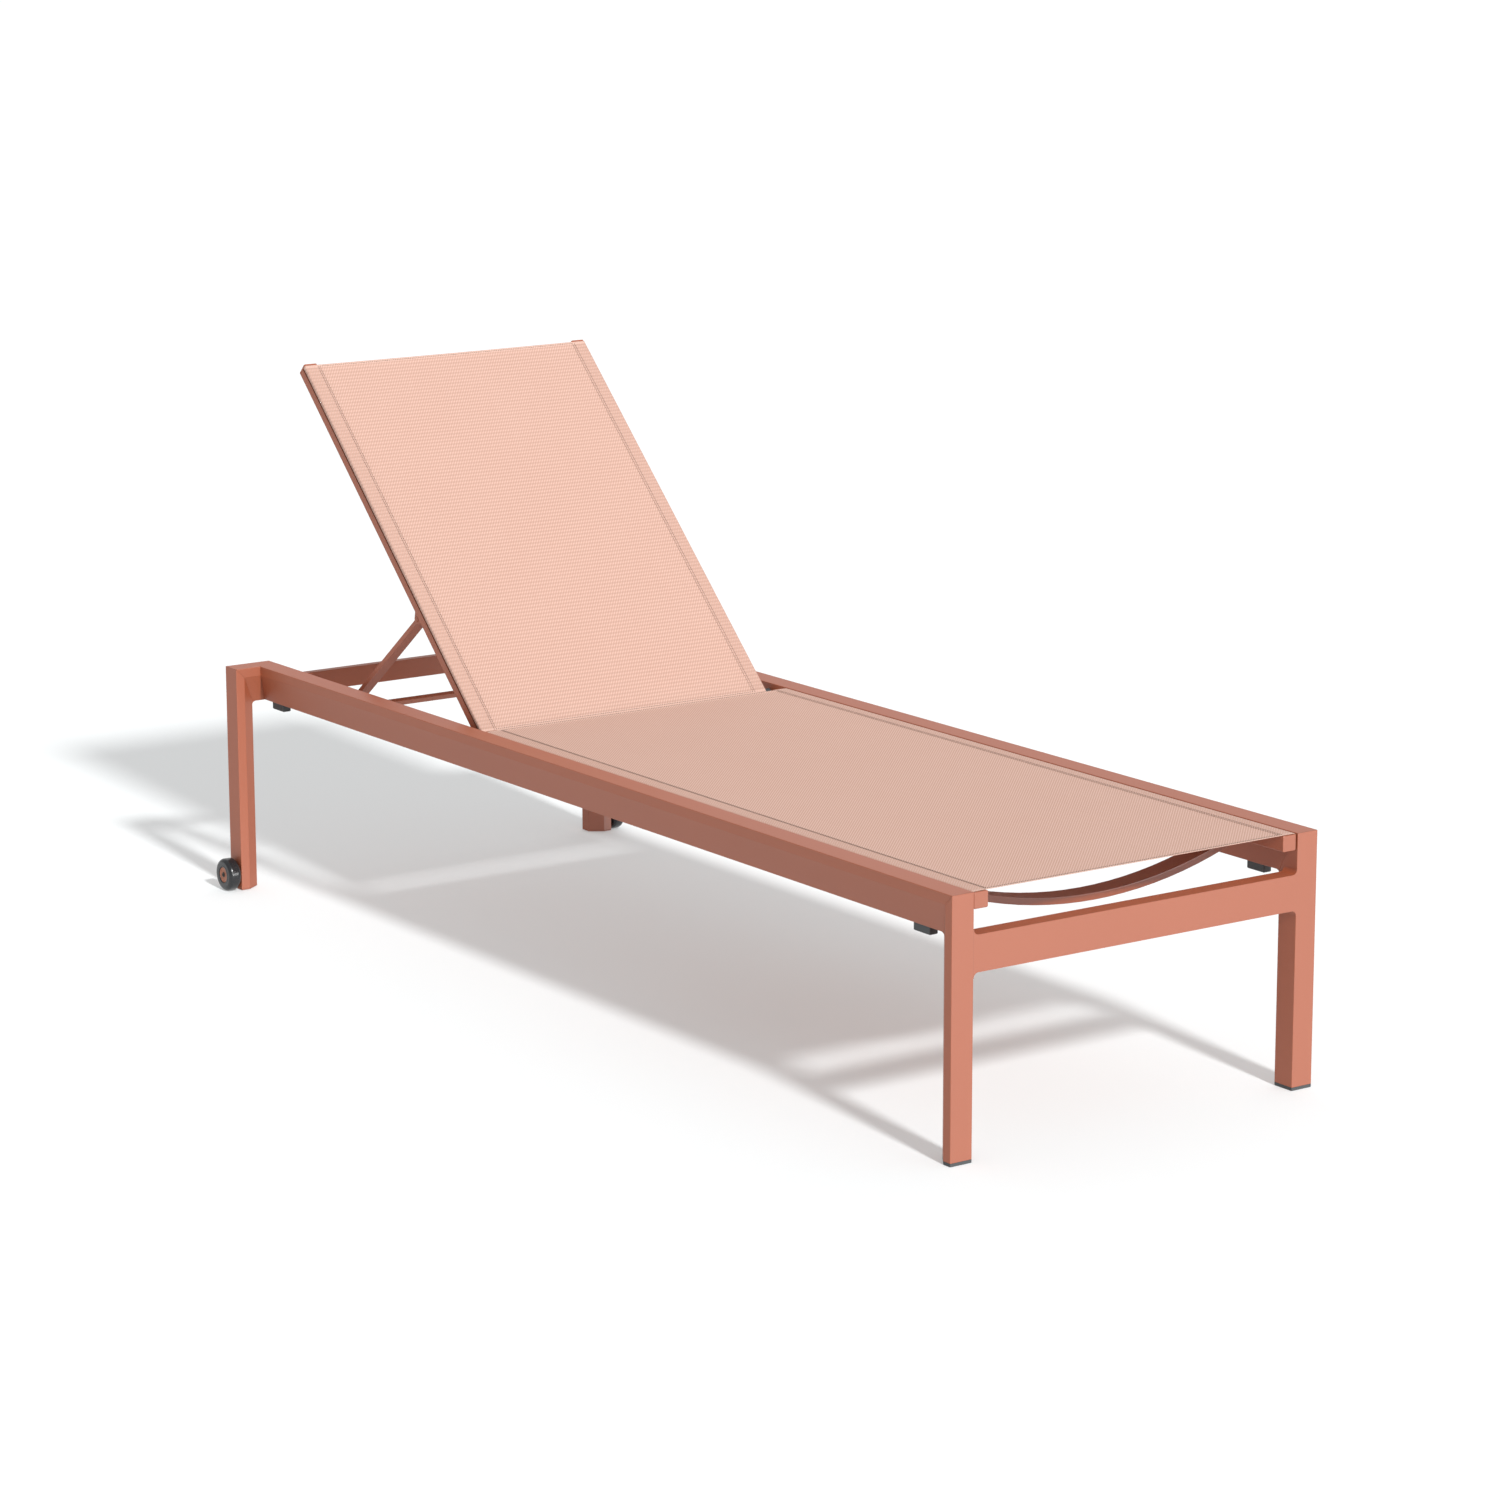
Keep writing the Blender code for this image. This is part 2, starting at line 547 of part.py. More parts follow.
def sling_outline(outer_x, front):
    """The sling's section: over the tubes, down their outer faces and into the slots, with keder beads."""
    half = SLING_THICKNESS / 2
    offset = TOUCH + half
    corner = (outer_x - TUBE_RADIUS, front - TUBE_RADIUS)
    slot_z = front - SLOT_FROM_FRONT - SLOT_MOUTH / 2
    bend = 0.0009
    bead_x = outer_x - SLOT_LIP - SLOT_CHAMBER / 2
    path = [(bead_x, slot_z)]
    path += [(outer_x + offset - bend, slot_z)]
    path += arc((outer_x + offset - bend, slot_z + bend), bend, -math.pi / 2, 0, 3)[1:]
    path += arc(corner, TUBE_RADIUS + offset, 0, math.pi / 2, 4)
    path += [(-x, z) for x, z in reversed(path)]
    left, right = [], []
    for i, point in enumerate(path):
        here = Vector(point)
        into = (here - Vector(path[i - 1])).normalized() if i else None
        out = (Vector(path[i + 1]) - here).normalized() if i + 1 < len(path) else None
        along = into if out is None else out if into is None else (into + out).normalized()
        stretch = 1.0 if into is None or out is None else 1.0 / along.dot(out)
        normal = Vector((-along.y, along.x)) * half * stretch
        left.append(tuple(here + normal))
        right.append(tuple(here - normal))
    opening = math.asin(half / KEDER_RADIUS)
    start_bead = arc((bead_x, slot_z), KEDER_RADIUS, opening, 2 * math.pi - opening, 10)
    end_bead = [(-x, z) for x, z in start_bead]
    return left[1:-1] + end_bead + list(reversed(right[1:-1])) + list(reversed(start_bead))


def make_sling(name, outer_x, front, low, high, parent=None):
    outline = sling_outline(outer_x, front)
    sweep(name, "salmon_mesh_sling", outline, along_y(low, high), parent=parent)


def make_bow(name, inner_x, level, sag, middle_y, parent=None):
    """A flat tube bent to an arc that hangs between the inner faces of two tubes."""
    half = inner_x - WELD * 2
    radius = (half * half + sag * sag) / (2 * sag)
    sweep_angle = math.asin(half / radius)
    steps = 20

    def place(i):
        a = sweep_angle * (2 * i / steps - 1)
        return lambda u, v: ((radius + v) * math.sin(a) if i not in (0, steps) else math.copysign(half, a),
                             middle_y + u, level + radius * math.cos(sweep_angle) - (radius + v) * math.cos(a))

    flat, thin = BOW_DEPTH / 2 - BOW_WALL, BOW_HEIGHT / 2 - BOW_WALL
    sweep(name, "terracotta_powder_coat", box_section(BOW_DEPTH, BOW_HEIGHT, 0.0015),
          [place(i) for i in range(steps + 1)], rectangle(-flat, flat, -thin, thin), parent)


def make_seat():
    level = SEAT_TUBE_TOP - TUBE_HEIGHT / 2
    plate = SEAT_SLING_START - SEAT_TUBE_START - TOUCH
    foot_y = Y_FOOT + SEAT_TUBE_START + plate
    head_y = Y_FOOT + SEAT_TUBE_END - plate
    for label, side in SIDES:
        make_tube("seat_tube_" + label, side, SEAT_TUBES_HALF, foot_y + TOUCH, head_y - TOUCH, level)
        make_tube_cap("seat_tube_foot_cap_" + label, side, SEAT_TUBES_HALF, foot_y, -plate, CAP_SPIGOT, level)
        make_tube_cap("seat_tube_head_cap_" + label, side, SEAT_TUBES_HALF, head_y, plate, CAP_SPIGOT, level)
        strip = rectangle(SEAT_TUBES_HALF + TOUCH, RAILS_INNER - TOUCH,
                          level - TUBE_HEIGHT / 2 + 0.001, level - 0.0015)
        sweep("seat_spacer_" + label, "terracotta_powder_coat", strip,
              along_y(Y_FOOT + SPACER_FROM_END, Y_FOOT + SEAT_TUBE_END - SPACER_FROM_END, side))
    bow_level = level - TUBE_HEIGHT / 2 + BOW_HEIGHT / 2
    for name, from_foot in SEAT_BOWS:
        make_bow(name, SEAT_TUBES_HALF - TUBE_WIDTH, bow_level, BOW_SAG, Y_FOOT + from_foot)
    make_sling("seat_sling", SEAT_TUBES_HALF, SEAT_TUBE_TOP,
               Y_FOOT + SEAT_SLING_START, Y_FOOT + SEAT_SLING_END)


# The backrest, modelled flat about its hinge and turned by its pivot

def make_backrest(hinge):
    low = -BACK_TAIL + BOTTOM_CAP
    high = BACK_LENGTH - TOP_CAP
    level = HINGE_BELOW_MIDDLE
    for label, side in SIDES:
        tube = make_tube("back_tube_" + label, side, BACK_TUBES_HALF, low + TOUCH, high - TOUCH, level,
                         hinge)
        cut(tube, bore("back_tube_bolt_hole_" + label, (0, 0), HINGE_BOLT_RADIUS + PLAY,
                       BACK_TUBES_HALF - TUBE_WIDTH - OVERLAP, BACK_TUBES_HALF + OVERLAP, side, hinge))
        make_tube_cap("back_tube_top_cap_" + label, side, BACK_TUBES_HALF, high, TOP_CAP, CAP_SPIGOT, level,
                      hinge)
        make_tube_cap("back_tube_bottom_cap_" + label, side, BACK_TUBES_HALF, low, -BOTTOM_CAP,
                      BOTTOM_CAP_SPIGOT, level, hinge)
        make_stay_bracket(label, side, hinge)
    for name, from_hinge in BACK_BOWS:
        make_bow(name, BACK_TUBES_HALF - TUBE_WIDTH, level - TUBE_HEIGHT / 2 + BOW_HEIGHT / 2,
                 BACK_BOW_SAG, from_hinge, hinge)
    make_sling("back_sling", BACK_TUBES_HALF, level + TUBE_HEIGHT / 2, BACK_SLING_START, high - TOUCH, hinge)


def make_stay_bracket(label, side, hinge):
    """A U of sheet under the back tube, with a rivet that the stay arm turns on."""
    outer = STAY_ARM_HALF + TOUCH + BRACKET_SHEET
    inner = STAY_ARM_HALF - STAY_ARM_WIDTH - TOUCH - BRACKET_SHEET
    top = HINGE_BELOW_MIDDLE - TUBE_HEIGHT / 2 - TOUCH
    centre = (STAY_FROM_HINGE, -STAY_DROP)
    flank = BRACKET_RADIUS + 0.005
    outline = [(centre[0] - flank, top)] + arc(centre, BRACKET_RADIUS, math.pi * 1.1, math.pi * 1.9, 10)
    outline += [(centre[0] + flank, top)]
    bracket = sweep("stay_bracket_" + label, "terracotta_powder_coat", outline,
                    [lambda u, v, x=x: (side * x, u, v) for x in (inner, outer)], parent=hinge)
    channel = rectangle(centre[0] - 2 * flank, centre[0] + 2 * flank, -2 * STAY_DROP, top - BRACKET_SHEET)
    channel_cutter = sweep("stay_channel_" + label, None, channel,
                           [lambda u, v, x=x: (side * x, u, v)
                            for x in (inner + BRACKET_SHEET, outer - BRACKET_SHEET)], parent=hinge)
    pin_hole = bore("bracket_pin_hole_" + label, centre, STAY_PIN_RADIUS + PLAY,
                    inner - OVERLAP, outer + OVERLAP, side, hinge)
    cut(bracket, channel_cutter, pin_hole)
    head = RIVET_HEAD_RADIUS
    profile = [(inner - TOUCH - 0.001, 0), (inner - TOUCH - 0.001, head - 0.001), (inner - TOUCH, head),
               (inner - TOUCH, STAY_PIN_RADIUS), (outer + TOUCH, STAY_PIN_RADIUS),
               (outer + TOUCH, head), (outer + TOUCH + 0.001, head - 0.001), (outer + TOUCH + 0.001, 0)]
    turned("stay_rivet_" + label, "stainless_steel", profile, (0, *centre), side, 24, parent=hinge)


def make_hinge(label, side):
    """A nylon bush against the rail and the shouldered bolt that the back tube turns on."""
    gap_low = BACK_TUBES_HALF + TOUCH
    gap_high = RAILS_INNER - TOUCH
    hole = HINGE_BOLT_RADIUS + PLAY
    bush = [(gap_low, hole), (gap_low, HINGE_BUSH_RADIUS - 0.001), (gap_low + 0.001, HINGE_BUSH_RADIUS),
            (gap_high, HINGE_BUSH_RADIUS), (gap_high, hole)]
    turned("hinge_bush_" + label, "black_nylon", bush, HINGE, side, 24, closed_loop=True)
    face = BACK_TUBES_HALF - TUBE_WIDTH - TOUCH
    head = BOLT_HEAD_RADIUS
    bolt = [(face - 0.004, 0), (face - 0.004, head - 0.0015), (face - 0.0025, head), (face, head),
            (face, HINGE_BOLT_RADIUS), (RAILS_INNER + WALL + 0.003, HINGE_BOLT_RADIUS),
            (RAILS_INNER + WALL + 0.003, 0)]
    turned("hinge_bolt_" + label, "stainless_steel", bolt, HINGE, side, 24)


# The stay that props the backrest, modelled straight along +Y from its pivot

def make_stay(stay):
    thin = STAY_ARM_THICKNESS / 2
    inner = STAY_ARM_HALF - STAY_ARM_WIDTH
    end = STAY_LENGTH + STAY_BAR_WIDTH / 2
    for label, side in SIDES:
        outline = [(end, -thin), (end, thin)] + arc((0, 0), thin, math.pi / 2, math.pi * 1.5, 8)
        arm = sweep("stay_arm_" + label, "terracotta_powder_coat", outline,
                    [lambda u, v, x=x: (side * x, u, v) for x in (inner, STAY_ARM_HALF)], parent=stay)
        cut(arm, bore("arm_pin_hole_" + label, (0, 0), STAY_PIN_RADIUS + PLAY,
                      inner - OVERLAP, STAY_ARM_HALF + OVERLAP, side, stay))
        tip = RAILS_INNER - PEG_FROM_RAIL
        peg = [(STAY_ARM_HALF + TOUCH, 0), (STAY_ARM_HALF + TOUCH, PEG_RADIUS), (tip - 0.001, PEG_RADIUS),
               (tip, PEG_RADIUS - 0.001), (tip, 0)]
        turned("stay_peg_" + label, "black_nylon", peg, (0, STAY_LENGTH, 0), side, 24, parent=stay)
    half = inner - TOUCH
    sweep("stay_bar", "terracotta_powder_coat", box_section(STAY_BAR_WIDTH, STAY_BAR_THICKNESS, 0.001),
          [lambda u, v, x=x: (x, STAY_LENGTH + u, v) for x in (-half, half)], parent=stay)


def peg_place(back_angle):
    """Where the stay's pegs are when the backrest stands at an angle, as (y, z)."""
    swing = FLAT_STAY_ANGLE + STAY_RATIO * back_angle
    stay_angle = swing - back_angle
    y = HINGE.y + STAY_FROM_HINGE * math.cos(back_angle) + STAY_DROP * math.sin(back_angle)
    z = HINGE.z + STAY_FROM_HINGE * math.sin(back_angle) - STAY_DROP * math.cos(back_angle)
    return y + STAY_LENGTH * math.cos(stay_angle), z - STAY_LENGTH * math.sin(stay_angle)


def rack_outline():
    """A notched rack under the path of the pegs, with a stop at each end."""
    drop = PEG_RADIUS + RACK_CLEARANCE
    half_notch = PEG_RADIUS * 0.75
    tips = []
    for angle in RACK_NOTCH_ANGLES:
        y, z = peg_place(angle)
        tip = z - drop
        floor = tip - RACK_NOTCH_DEPTH
        tips.append([(y + half_notch + 0.001, tip), (y + half_notch * 0.6, floor), (y - half_notch * 0.6, floor),
                     (y - half_notch - 0.001, tip)])
    flat_y, flat_z = peg_place(0.0)
    head_end = flat_y + PEG_RADIUS + RACK_RUN_OUT
    foot_end = peg_place(RACK_NOTCH_ANGLES[-1])[0] - PEG_RADIUS - RACK_RUN_OUT
    stop = RACK_STOP_HEIGHT
    outline = [(head_end + RACK_STOP, RACK_BOTTOM), (head_end + RACK_STOP, flat_z - drop + stop),
               (head_end, flat_z - drop + stop), (head_end, flat_z - drop)]
    for notch in tips:
        outline += notch
    outline += [(foot_end, tips[-1][-1][1]), (foot_end, tips[-1][-1][1] + stop),
                (foot_end - RACK_STOP, tips[-1][-1][1] + stop), (foot_end - RACK_STOP, RACK_BOTTOM)]
    return outline


def make_racks():
    outline = rack_outline()
    for label, side in SIDES:
        sweep("stay_rack_" + label, "terracotta_powder_coat", outline,
              [lambda u, v, x=x: (side * x, u, v) for x in (RAILS_INNER - TOUCH - RACK_WIDTH,
                                                             RAILS_INNER - TOUCH)])


# The wheels

def make_wheel(label, side):
    centre = (WHEEL_INNER_X, AXLE_Y, AXLE_Z)
    shoulder = TYRE_SHOULDER
    outer = WHEEL_RADIUS - shoulder
    width = WHEEL_WIDTH
    seat = HUB_RADIUS + TOUCH
    quarter = math.pi / 2
    tread = arc((shoulder, outer), shoulder, 2 * quarter, quarter, 4)
    tread += arc((width - shoulder, outer), shoulder, quarter, 0, 4)
    tyre = [(0.0015, seat), (0, seat + 0.0015)] + tread + [(width, seat + 0.0015), (width - 0.0015, seat)]
    turned("wheel_tyre_" + label, "dark_tyre", tyre, centre, side, 40, closed_loop=True)
    hole = AXLE_RADIUS + PLAY
    face = width - 0.0012
    hub = [(0.001, hole), (0.001, HUB_RADIUS), (face, HUB_RADIUS), (face, HUB_RADIUS - 0.0014),
           (face - 0.0012, HUB_RADIUS - 0.0022), (face - 0.0012, 0.0052), (face - 0.0004, 0.0044),
           (face - 0.0004, hole)]
    turned("wheel_hub_" + label, "copper_hub", hub, centre, side, 32, closed_loop=True)
    collar_x = HEAD_LEGS_HALF + TOUCH - WHEEL_INNER_X
    outside = face - 0.0004 + TOUCH
    axle = [(-0.012, 0), (-0.012, AXLE_RADIUS), (collar_x, AXLE_RADIUS), (collar_x, 0.0065),
            (collar_x + 0.0025, 0.0065), (collar_x + 0.0025, AXLE_RADIUS), (outside, AXLE_RADIUS),
            (outside, 0.0042), (outside + 0.0010, 0.0036), (outside + 0.0010, 0.0020),
            (outside - 0.0010, 0.0018), (outside - 0.0010, 0)]
    turned("wheel_axle_" + label, "stainless_steel", axle, centre, side, 20)


def main():
    clear_scene()
    for label, side in SIDES:
        foot_cutter = make_foot_corner(label, side)
        head_cutter = make_head_corner(label, side)
        make_rail(label, side, foot_cutter, head_cutter)
        make_hinge(label, side)
        make_wheel(label, side)
    make_foot_crossbar()
    make_head_crossbar()
    make_stacking_pads()
    make_seat()
    make_racks()
    hinge = pivot("backrest_pivot", HINGE, BACK_ANGLE)
    make_backrest(hinge)
    stay = pivot("stay_pivot", (0, STAY_FROM_HINGE, -STAY_DROP), -STAY_SWING, hinge)
    make_stay(stay)


main()
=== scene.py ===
import json
import math

import bmesh
import bpy
import numpy as np
from mathutils import Matrix, Vector


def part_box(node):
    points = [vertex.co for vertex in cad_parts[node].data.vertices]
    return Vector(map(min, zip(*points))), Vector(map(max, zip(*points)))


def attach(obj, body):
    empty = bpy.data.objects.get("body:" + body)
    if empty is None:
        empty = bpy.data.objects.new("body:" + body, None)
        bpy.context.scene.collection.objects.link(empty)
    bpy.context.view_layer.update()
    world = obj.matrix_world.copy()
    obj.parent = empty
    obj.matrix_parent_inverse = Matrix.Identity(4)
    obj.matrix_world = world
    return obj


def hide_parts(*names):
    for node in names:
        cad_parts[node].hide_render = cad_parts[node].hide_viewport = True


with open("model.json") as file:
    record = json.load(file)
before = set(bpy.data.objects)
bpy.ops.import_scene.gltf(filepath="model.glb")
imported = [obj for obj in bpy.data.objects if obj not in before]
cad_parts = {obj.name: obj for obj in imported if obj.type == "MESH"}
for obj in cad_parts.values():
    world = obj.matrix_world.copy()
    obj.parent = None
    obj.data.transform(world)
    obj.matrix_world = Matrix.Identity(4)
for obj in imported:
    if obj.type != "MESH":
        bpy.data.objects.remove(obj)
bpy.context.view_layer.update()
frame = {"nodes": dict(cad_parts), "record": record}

# Camera: where the photograph was taken from
CAMERA_PLACE = (-3.8395, -5.5161, 1.8476)
CAMERA_AZIMUTH = math.radians(-35.009)
CAMERA_ELEVATION = math.radians(12.518)
CAMERA_ROLL = math.radians(-0.111)
CAMERA_LENS = 108.56
CAMERA_SENSOR = 36.0

# Light: a white studio floor, a pale room with a brighter backdrop, a soft key lamp far off past
# the foot end, and a broad lamp that adds only gloss
ROOM_DARK = 0.535
ROOM_BACKDROP = 1.05
BACKDROP_DIRECTION = (0.56, 0.80, 0.20)
BACKDROP_EDGE = (0.45, 0.85)    # cosines from its middle where it starts and is full
FLOOR_REACH = 60.0
FLOOR_DROP = 0.0002             # just under the feet, so that the two don't flicker
FLOOR_ROUGHNESS = 0.9
FLOOR_GLOW = 0.25
FLOOR_ALBEDO = (0.63, 0.65, 0.655)   # a little cool, against the warm bounce
KEY_DIRECTION = (-0.10, -0.85, 0.60)
KEY_ANGLE = math.radians(5.5)
KEY_STRENGTH = 3.5
SHEEN_DIRECTION = (0.20, -0.95, 0.20)
SHEEN_ANGLE = math.radians(40.0)
SHEEN_STRENGTH = 5.4

# The weave: coated yarns in a two-over, two-under twill
WEAVE_ACROSS = 0.00484      # the twill repeats every four yarns
WEAVE_ALONG = 0.00500
YARNS_PER_REPEAT = 4.0
BACK_DRAWN_OUT = 1.36       # the back sling's weave is drawn out lengthwise
SEAT_TWILL = 0.65           # how strongly the diagonal ridges show
BACK_TWILL = 0.5
SEAT_PICKS = 0.06           # how strongly the crosswise rows show
BACK_PICKS = 0.18
WAVE_SHARE = 0.8            # how far a yarn rises and dives
YARN_SHARE = 0.7            # how round it is
YARN_SQUARENESS = 2.5
OVERLAP_CONTRAST = 1.2      # how sharply the upper yarn hides the lower
YARN_SHADE_CONTRAST = 0.55        # painted shade: how much darker the sunken parts of the yarns are painted than the raised ones
YARN_SHADE_BASE = 0.25
STREAKS = 0.08              # changes of a yarn's tone in one repeat along it
SPECK_LEVEL = 0.45          # the two crossing waves show a speck above this

# The slings: sewn round a bead along both sides, hemmed at both ends
SLING_THICKNESS = 0.0006
SLING_GAP = 0.0002          # between a sling and its tubes
SLOT_TOP = 0.0050           # from a tube's front face to its slot
SLOT_INSET = 0.0007         # sling's outer face below the slot's top edge
SLING_TUCK = 0.0016         # how far the sling is drawn inside the slot
WRAP_RADIUS = 0.0028        # sling's outer face round a tube's corner
HEM_FROM_TUBE_EDGE = 0.0245
HEM_STEP = 0.00045          # height of the doubled cloth over the single
HEM_EDGE = 0.0005           # half the width of that step
END_HEM = 0.0055
END_STATIONS = (0.0, 0.0008, END_HEM - 0.0004, END_HEM + 0.0004, 0.012, 0.02)
INNER_START = 0.03          # where the even stations begin, from each end
INNER_STATIONS = 90
PANEL_STEPS = 20
HEM_STEPS = 5
CORNER_STEPS = 6
TURN_STEPS = 4
SAG = 0.0008
SAG_LOST_AT_ENDS = 0.5
EDGE_DRAW = 0.0004          # how far a free end is drawn in at its middle
EDGE_REACH = 0.12           # how far from an end that is felt

# The stitching
SIDE_STITCH_ROWS = (0.0222, 0.0258)
END_STITCH_ROW = 0.0035
STITCH_LENGTH = 0.0026
STITCH_PITCH = 0.0036
STITCH_RADIUS = 0.00042
STITCH_MARGIN = 0.002       # left free at both ends of a row
STITCH_LIFT = 0.4           # height of the thread's axis over the cloth, in thread radii
STITCH_SIDES = 6
# One stitch from end to end: place along it, rise and thickness
STITCH_PROFILE = ((-0.5, -0.9, 0.5), (-0.36, 0.1, 0.9), (0.0, 0.5, 1.0), (0.36, 0.1, 0.9),
                  (0.5, -0.9, 0.5))

# Ground weld seams between the foot legs and their crossbar
WELD_PROUD = 0.00001
WELD_DEPTH = 0.0011
WELD_LAP_LEG = 0.0012
WELD_LAP_BAR = 0.0003
WELD_EASE = 0.0001
WELD_EASE_STEPS = 2

# The tyres
TYRE_SHOULDER = 0.0065
TYRE_BEAD_WIDTH = 0.0022    # raised ring round the hub
TYRE_BEAD_PROUD = 0.0003
TYRE_EASE = 0.0012
TYRE_STEPS = 96
TYRE_SHOULDER_STEPS = 10
TYRE_SHARP_ANGLE = math.radians(40)
TYRE_LINES = 9000.0         # turned lines, in radians a metre

# Colours
TERRACOTTA = (0.305, 0.077, 0.031)
YARN_LIGHT = (0.72, 0.505, 0.425)
YARN_DARK = (0.44, 0.245, 0.185)
THREAD = (0.15, 0.095, 0.07)
NYLON = (0.034, 0.037, 0.039)
TYRE = (0.013, 0.014, 0.016)
HUB = (0.40, 0.15, 0.085)
STEEL = (0.58, 0.57, 0.56)
# Painted shade: near black for the axle ends, standing for the shade in each hub's bore
AXLE_PAINTED_SHADE = (0.06, 0.055, 0.05)

# Finishes: a TONE is a factor on the colour, a SHARE is how much of that tone shows at most
COAT_DRIFT_TONES = (0.95, 1.05)
COAT_GRAIN_TONE, COAT_GRAIN_SHARE = 0.80, 0.16
# Sharp edges of the coat painted lighter: partly wear, partly a painted highlight
COAT_EDGE_WEAR_HIGHLIGHT_TONE, COAT_EDGE_WEAR_HIGHLIGHT_SHARE = 1.5, 0.22
COAT_ROUGHNESS = (0.48, 0.58)
COAT_SPECULAR = 0.70
NYLON_DRIFT_TONES = (0.8, 1.25)
# Sharp edges of the nylon painted lighter: partly wear, partly a painted highlight
NYLON_EDGE_WEAR_HIGHLIGHT_TONE, NYLON_EDGE_WEAR_HIGHLIGHT_SHARE = 2.2, 0.3
NYLON_ROUGHNESS = (0.47, 0.63)
TYRE_DUST_TONE, TYRE_DUST_SHARE = 2.2, 0.20
TYRE_ROUGHNESS = (0.18, 0.28)
STEEL_TONES = (0.9, 1.1)
STEEL_ROUGHNESS = (0.18, 0.34)
THREAD_TONES = (0.7, 1.3)
THREAD_ROUGHNESS = 0.7
RIDGE_SIDE_TONE = 1.12
PICK_TONE = 0.70
YARN_STREAK_TONE, YARN_STREAK_SHARE = 1.15, 0.12
CLOTH_DRIFT_TONE, CLOTH_DRIFT_SHARE = 0.86, 0.10
SPECK_TONE, SPECK_SHARE = 0.62, 0.42
# Painted highlight: a paler band along the rolled end hems
END_HEM_HIGHLIGHT_TONE, END_HEM_HIGHLIGHT_SHARE = 1.06, 0.25
CLOTH_ROUGHNESS = 0.75
CLOTH_SPECULAR = 0.3


# Shader graphs

class Graph:
    """A material's nodes, added and linked from left to right."""

    def __init__(self, name):
        self.material = bpy.data.materials.new(name)
        self.material.use_nodes = True
        self.tree = self.material.node_tree
        self.shader = self.tree.nodes["Principled BSDF"]

    def node(self, kind, **settings):
        made = self.tree.nodes.new("ShaderNode" + kind)
        for key, value in settings.items():
            setattr(made, key, value)
        return made

    def feed(self, socket, value):
        if isinstance(value, bpy.types.NodeSocket):
            self.tree.links.new(value, socket)
        else:
            socket.default_value = value

    def math(self, operation, *values, clamp=False):
        made = self.node("Math", operation=operation, use_clamp=clamp)
        for socket, value in zip(made.inputs, values):
            self.feed(socket, value)
        return made.outputs[0]

    def mix(self, factor, first, second):
        made = self.node("Mix", data_type="RGBA")
        self.feed(made.inputs["Factor"], factor)
        for socket, value in ((made.inputs[6], first), (made.inputs[7], second)):
            self.feed(socket, (*value, 1.0) if isinstance(value, tuple) else value)
        return made.outputs[2]

    def mix_tones(self, factor, colour, tones):
        """A colour that goes from a darker to a lighter tone as the factor goes from 0 to 1."""
        return self.mix(factor, shade(colour, tones[0]), shade(colour, tones[1]))

    def noise(self, vector, scale, detail=2.0):
        """Soft noise from 0 to 1, with about scale blobs to a metre."""
        made = self.node("TexNoise")
        made.inputs["Scale"].default_value = scale
        made.inputs["Detail"].default_value = detail
        self.feed(made.inputs["Vector"], vector)
        return made.outputs["Fac"]

    def spread(self, value, low, high):
        """A 0 to 1 value mapped to low to high."""
        made = self.node("MapRange")
        self.feed(made.inputs["Value"], value)
        made.inputs["To Min"].default_value = low
        made.inputs["To Max"].default_value = high
        return made.outputs["Result"]

    def object_place(self):
        """A place on the object, in metres."""
        return self.node("TexCoord").outputs["Object"]

    def bump(self, height, distance, strength=1.0, under=None):
        """A normal for a height from 0 to 1 that stands for so many metres, on top of another."""
        made = self.node("Bump")
        made.inputs["Distance"].default_value = distance
        made.inputs["Strength"].default_value = strength
        self.feed(made.inputs["Height"], height)
        if under:
            self.feed(made.inputs["Normal"], under)
        return made.outputs["Normal"]

    def set_constants(self, **constants):
        """Sets the shader's own sockets. An underscore stands for a space in a socket's name."""
        for name, value in constants.items():
            self.shader.inputs[name.replace("_", " ")].default_value = value
        return self.material

    def finish(self, colour, roughness, normal, **constants):
        self.feed(self.shader.inputs["Base Color"], colour)
        self.feed(self.shader.inputs["Roughness"], roughness)
        self.feed(self.shader.inputs["Normal"], normal)
        return self.set_constants(**constants)


def shade(colour, factor):
    return tuple(min(1.0, c * factor) for c in colour)


# Edges lightened with this mask stand partly for wear and partly for a painted highlight.
def worn_and_highlit_edges(graph, low=0.52, high=0.60):
    """1 on sharp outer edges, 0 on flats."""
    pointiness = graph.node("NewGeometry").outputs["Pointiness"]
    made = graph.node("MapRange")
    graph.feed(made.inputs["Value"], pointiness)
    made.inputs["From Min"].default_value = low
    made.inputs["From Max"].default_value = high
    return made.outputs["Result"]


def powder_coat(name, colour):
    """Satin powder coat: orange peel, fine grain, slow drifts in tone, and sharp edges painted
    lighter, partly as wear and partly as a painted highlight.
    """
    graph = Graph(name)
    place = graph.object_place()
    drift = graph.noise(place, scale=5.0)
    grain = graph.noise(place, scale=2600.0, detail=1.0)
    peel = graph.noise(place, scale=420.0)
    tone = graph.mix_tones(drift, colour, COAT_DRIFT_TONES)
    speckle = graph.spread(grain, 0.0, COAT_GRAIN_SHARE)
    tone = graph.mix(speckle, tone, shade(colour, COAT_GRAIN_TONE))
    # Sharp edges painted lighter: partly wear, partly a painted highlight
    rubbed_and_highlit = graph.math("MULTIPLY", worn_and_highlit_edges(graph), COAT_EDGE_WEAR_HIGHLIGHT_SHARE)
    tone = graph.mix(rubbed_and_highlit, tone, shade(colour, COAT_EDGE_WEAR_HIGHLIGHT_TONE))
    roughness = graph.spread(grain, *COAT_ROUGHNESS)
    fine = graph.bump(grain, distance=0.00002, strength=0.6)
    normal = graph.bump(peel, distance=0.00006, strength=0.5, under=fine)
    return graph.finish(tone, roughness, normal, Specular_IOR_Level=COAT_SPECULAR)


